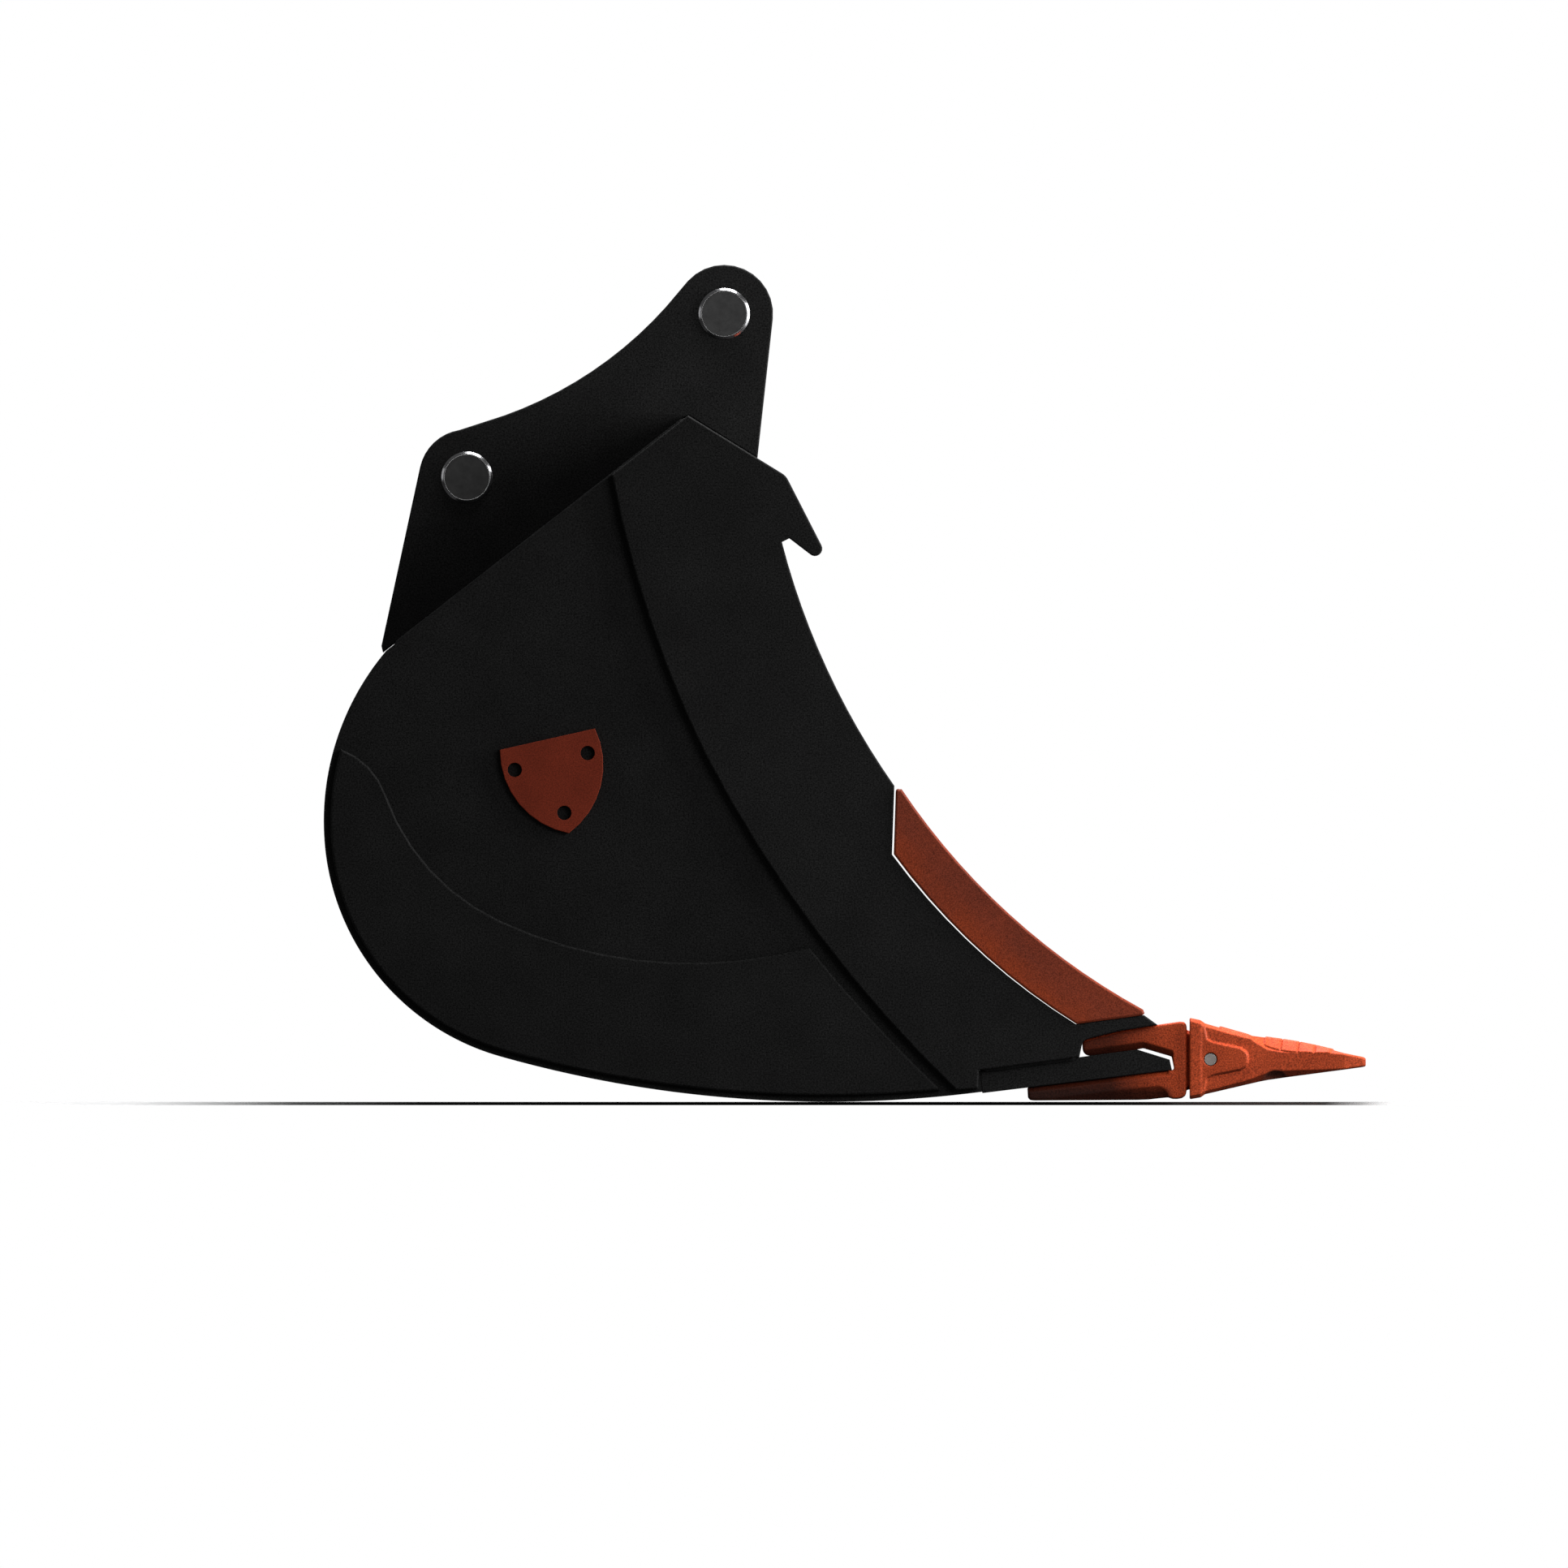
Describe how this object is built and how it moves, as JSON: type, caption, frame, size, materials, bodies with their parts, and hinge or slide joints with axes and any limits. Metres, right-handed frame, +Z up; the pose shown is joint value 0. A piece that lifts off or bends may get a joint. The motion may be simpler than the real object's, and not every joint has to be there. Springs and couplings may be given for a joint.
{
  "type": "excavator bucket with teeth",
  "caption": "Excavator digging bucket: welded shell, two pin ears, lip with weld-on adapters, replaceable teeth on side pins, and side cutters.",
  "frame": {"origin": "below the middle of the bounding box, on the ground that the bucket stands on", "axes": "+X towards the teeth, +Y across the bucket's width (left is -Y), +Z up"},
  "size_m": [1.3861, 0.936, 1.1136],
  "materials": {
    "black_paint": "matt black paint on rolled plate, fine grain",
    "red_casting": "red-orange paint over a fine sand-cast surface",
    "red_cutter": "dull red paint on flame-cut plate",
    "badge_red": "matt dark red paint",
    "pin_steel": "grey phosphated steel",
    "bush_steel": "turned and polished steel",
    "ring_rubber": "dark oiled rubber and steel"
  },
  "bodies": {
    "bucket": {"side_plate_left": "black_paint", "side_bar_left": "black_paint", "heel_wear_plate_left": "black_paint", "ear_left": "black_paint", "side_cutter_left": "red_cutter", "badge_left": "badge_red", "stick_bush_left": "bush_steel", "link_bush_left": "bush_steel", "side_plate_right": "black_paint", "side_bar_right": "black_paint", "heel_wear_plate_right": "black_paint", "ear_right": "black_paint", "side_cutter_right": "red_cutter", "badge_right": "badge_red", "stick_bush_right": "bush_steel", "link_bush_right": "bush_steel", "shell_plate": "black_paint", "roof_front_plate": "black_paint", "ceiling_plate": "black_paint", "lip_plate": "black_paint", "ear_tie_plate": "black_paint", "adapter_1": "red_casting", "tooth_1": "red_casting", "pin_retainer_1": "ring_rubber", "adapter_2": "red_casting", "tooth_2": "red_casting", "pin_retainer_2": "ring_rubber", "adapter_3": "red_casting", "tooth_3": "red_casting", "pin_retainer_3": "ring_rubber", "adapter_4": "red_casting", "tooth_4": "red_casting", "pin_retainer_4": "ring_rubber", "adapter_5": "red_casting", "tooth_5": "red_casting", "pin_retainer_5": "ring_rubber"},
    "stick_pin": {"stick_pin": "pin_steel"},
    "link_pin": {"link_pin": "pin_steel"},
    "tooth_pin_1": {"tooth_pin_1": "pin_steel"},
    "tooth_pin_2": {"tooth_pin_2": "pin_steel"},
    "tooth_pin_3": {"tooth_pin_3": "pin_steel"},
    "tooth_pin_4": {"tooth_pin_4": "pin_steel"},
    "tooth_pin_5": {"tooth_pin_5": "pin_steel"}
  },
  "joints": [
    {"name": "stick_pin_slide", "type": "slide", "parent": "bucket", "child": "stick_pin", "axis": [0, -1, 0], "range_m": [0, 0.345]},
    {"name": "link_pin_slide", "type": "slide", "parent": "bucket", "child": "link_pin", "axis": [0, -1, 0], "range_m": [0, 0.345]},
    {"name": "tooth_pin_1_slide", "type": "slide", "parent": "bucket", "child": "tooth_pin_1", "axis": [0, -1, 0], "range_m": [0, 0.1]},
    {"name": "tooth_pin_2_slide", "type": "slide", "parent": "bucket", "child": "tooth_pin_2", "axis": [0, -1, 0], "range_m": [0, 0.1]},
    {"name": "tooth_pin_3_slide", "type": "slide", "parent": "bucket", "child": "tooth_pin_3", "axis": [0, -1, 0], "range_m": [0, 0.1]},
    {"name": "tooth_pin_4_slide", "type": "slide", "parent": "bucket", "child": "tooth_pin_4", "axis": [0, -1, 0], "range_m": [0, 0.1]},
    {"name": "tooth_pin_5_slide", "type": "slide", "parent": "bucket", "child": "tooth_pin_5", "axis": [0, -1, 0], "range_m": [0, 0.1]}
  ]
}
